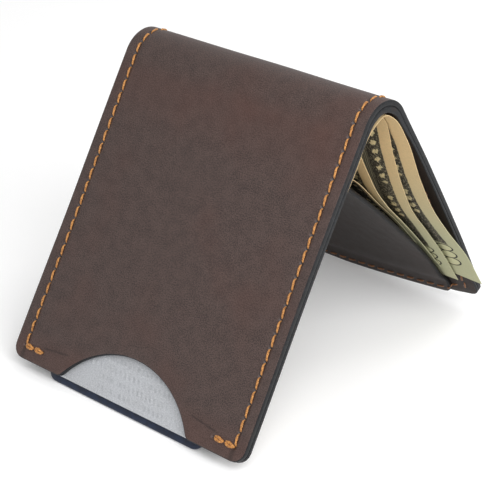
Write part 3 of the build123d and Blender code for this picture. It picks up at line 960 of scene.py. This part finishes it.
# ------------------------------------------------------------------ banknotes
# For each note: the (s, depth) points that its right edge passes from the back end to the front panel,
# the (y, z) points of its bend over the fold where it leaves the leather, the place of its right edge
# across the wallet, how far that edge slants, in degrees, and how much of the margin was cut off it.
NOTES = (
    {"back": [(79, 3.0), (66, 3.2), (52, 5.1), (41, 5.95), (31, 5.2), (17, 3.1), (8, 3.6), (2, 3.8)],
     "bend": [], "front": [(-9, 4.2), (-20, 4.8)], "right": 39.0, "slant": 3.7, "trim": 0.0},
    {"back": [(81, 3.4), (66, 4.5), (54, 6.1), (42, 7.7), (32, 7.2), (22, 5.8), (9, 3.9), (2, 4.1)],
     "bend": [], "front": [(-10, 5.0), (-22, 5.0)], "right": 36.0, "slant": 0.0, "trim": 1.0},
    {"back": [(77, 3.6), (59, 6.7), (48, 9.0), (38, 11.3), (30, 12.3), (22, 12.2)],
     "bend": [(0.2, 64.6), (-2.6, 66.2), (-5.5, 65.3)], "front": [(-21, 5.13), (-27, 5.14)], "right": 32.0,
     "slant": 0.0, "trim": 0.5},
    {"back": [(78, 3.75), (60, 6.95), (48, 9.35), (36, 12.5), (24, 15.4)],
     "bend": [(-3.4, 59.0), (-5.5, 60.8), (-7.5, 61.0)], "front": [(-25.5, 5.3), (-31, 5.31)],
     "right": 30.2, "slant": 0.0, "trim": 3.0},
)
NOTE_FRONT_END = -89.0      # no note reaches further down the front half
LINE_STEP = 0.5             # between the points of a line along a note


def note_line(note):
    """(y, z) along a note's right edge, one point each LINE_STEP from its back end."""
    points = [place(s, d) for s, d in note["back"]] + [np.array(p) for p in note["bend"]]
    points += [place(s, d) for s, d in note["front"]]
    points.append(place(NOTE_FRONT_END, note["front"][-1][1]))
    return by_length(spline(points, 0.25))


def note_left_line(index):
    """(y, z) along a note's left edge, which lies flat on the lining all the way."""
    depth = SHELL + 0.2 + index * NOTE_PITCH
    rises = [(84, 0), (60, 0), (30, 0), (12, 0), (6, 0.45), (0, 0.5)]
    rises += [(-6, 0.6), (-12, 1.5), (-20, 1.75), (-130, 1.75)]
    return by_length(spline([place(s, depth + rise) for s, rise in rises], 0.25))


def by_length(line, step=LINE_STEP):
    """The same line with one point each step of its length."""
    lengths = np.concatenate([[0], np.cumsum(np.linalg.norm(np.diff(line, axis=0), axis=1))])
    at = np.arange(0, lengths[-1], step)
    return np.stack([np.interp(at, lengths, line[:, k]) for k in (0, 1)], -1)


def along_line(line, travel):
    """Places on a line whose points are LINE_STEP apart, at each travel along it."""
    full, part = np.floor(travel).astype(int), travel % 1
    full = np.clip(full, 0, len(line) - 2)
    return line[full] * (1 - part[..., None]) + line[full + 1] * part[..., None]


def note_faces(rows, columns):
    """Faces of a closed sheet: its two sides, then a strip round its rim."""
    total = rows * columns
    faces = []
    for i in range(rows - 1):
        for j in range(columns - 1):
            a, b = i * columns + j, (i + 1) * columns + j
            faces += [[a, b, b + 1, a + 1], [total + a + 1, total + b + 1, total + b, total + a]]
    rim = [i * columns for i in range(rows)] + [(rows - 1) * columns + j for j in range(1, columns)]
    rim += [i * columns + columns - 1 for i in range(rows - 2, -1, -1)] + list(range(columns - 2, 0, -1))
    for a, b in zip(rim, rim[1:] + rim[:1]):
        faces.append([b, a, total + a, total + b])
    return faces


def note_mesh(index, note):
    """A closed sheet of paper: (points, faces, map)."""
    right, left = note_line(note), note_left_line(index)
    slope = math.radians(note["slant"])
    length = min(NOTE_LENGTH, LINE_STEP * (len(right) - 2) - NOTE_WIDTH * max(0, math.sin(slope)))
    u, v = np.meshgrid(stops(0, length, 1.0), stops(0, NOTE_WIDTH, 2.2), indexing="ij")
    x = note["right"] - v * math.cos(slope) + (note["back"][0][0] - u) * math.sin(slope)
    travel = np.clip(u + v * math.sin(slope), 0, None) / LINE_STEP
    share = opening(x)[..., None]
    yz = along_line(right, travel) * share + along_line(left, travel) * (1 - share)
    yz[..., 1] += 0.05 * np.sin(v / 9 + index) * np.sin(u / 14 + 2 * index)
    step_u = np.gradient(yz, axis=0)
    inward = np.stack([-step_u[..., 1], step_u[..., 0]], -1)
    inward /= np.linalg.norm(inward, axis=-1)[..., None]
    outside = row_points(x, yz).reshape(-1, 3)
    under = row_points(x, yz + inward * NOTE_THICKNESS).reshape(-1, 3)
    flat = np.stack([v.ravel() + note["trim"], u.ravel()], -1)
    return np.vstack([outside, under]), note_faces(*u.shape), np.vstack([flat, flat])


def cut_at_fold(obj, side):
    """Keep one side of the plane y = 0 and close the cut."""
    mesh = bmesh.new()
    mesh.from_mesh(obj.data)
    everything = mesh.verts[:] + mesh.edges[:] + mesh.faces[:]
    cut = bmesh.ops.bisect_plane(mesh, geom=everything, plane_co=(0, 0, 0), plane_no=(0, side, 0),
                                 clear_inner=True)
    edges = [e for e in cut["geom_cut"] if isinstance(e, bmesh.types.BMEdge) and e.is_boundary]
    bmesh.ops.holes_fill(mesh, edges=edges)
    bmesh.ops.recalc_face_normals(mesh, faces=mesh.faces)
    mesh.to_mesh(obj.data)
    mesh.free()
    obj.data.shade_smooth()
    obj.data.set_sharp_from_angle(angle=math.radians(50))


def banknotes():
    """Each note is one sheet, cut over the fold so that each part bends across one joint."""
    for index, note in enumerate(NOTES):
        points, faces, flat = note_mesh(index, note)
        number = index + 1
        for word, side in (("front", FRONT), ("back", BACK)):
            obj = new_object(f"banknote_{number}_{word}_part", points, faces, [PAPER], flat=flat)
            cut_at_fold(obj, side)
            lines = ("notes_fold", (0, side * 8 * MM, 0.07), (0, side * 1 * MM, 0.07))
            nodes = [f"banknote_{number}_{word}", f"banknote_{number}_fold"]
            finish_piece(obj, f"notes_{word}", nodes, lines)


# ------------------------------------------------------------------ stage
def floor():
    """A plain pale floor."""
    bpy.ops.mesh.primitive_plane_add(size=6, location=(0, 0, 0))
    obj = bpy.context.object
    obj.name = "floor"
    paint = Paint("floor_paint", Specular_IOR_Level=0.1)
    material = paint.done(Base_Color=(0.9, 0.9, 0.9, 1), Roughness=0.9, Emission_Color=(1, 1, 1, 1),
                          Emission_Strength=0.15)
    obj.data.materials.append(material)


def area_light(name, location, target, size, power):
    """A soft white light in metres and watts."""
    lamp = bpy.data.lights.new(name, "AREA")
    lamp.energy, lamp.size = power, size
    obj = bpy.data.objects.new(name, lamp)
    obj.location = location
    obj.rotation_euler = (Vector(target) - Vector(location)).to_track_quat("-Z", "Y").to_euler()
    bpy.context.scene.collection.objects.link(obj)


def lights():
    """Soft studio light."""
    middle = (0, 0, 0.04)
    area_light("key", (0.27, -0.16, 0.32), middle, 0.3, 1.35)
    area_light("fill", (0.75, -0.1, 0.3), middle, 0.5, 1.3)
    area_light("rim", (0.1, 0.6, 0.6), middle, 0.7, 2.6)
    studio = bpy.data.worlds.new("studio")
    bpy.context.scene.world = studio
    studio.use_nodes = True
    background = studio.node_tree.nodes["Background"]
    background.inputs["Color"].default_value = (1, 1, 1, 1)
    background.inputs["Strength"].default_value = 0.56


def camera():
    """The view from in front, on the open side and a little above."""
    lens = bpy.data.cameras.new("camera")
    lens.sensor_width, lens.lens = 36.0, 119.49
    lens.shift_x, lens.shift_y = -0.0006, -0.0069
    lens.clip_start, lens.clip_end = 0.01, 20
    obj = bpy.data.objects.new("camera", lens)
    right = Vector((0.759469, 0.650473, -0.009587))
    up = Vector((-0.299442, 0.362625, 0.882518))
    back = right.cross(up)
    turn = Matrix((right, up, back)).transposed().to_4x4()
    obj.matrix_world = Matrix.Translation(Vector((0.251351, -0.295595, 0.234605))) @ turn
    bpy.context.scene.collection.objects.link(obj)
    bpy.context.scene.camera = obj
    bpy.context.scene.view_settings.view_transform = "Standard"


leather_half(FRONT, "front")
leather_half(BACK, "back")
panels()
seams()
cards()
banknotes()
floor()
lights()
camera()
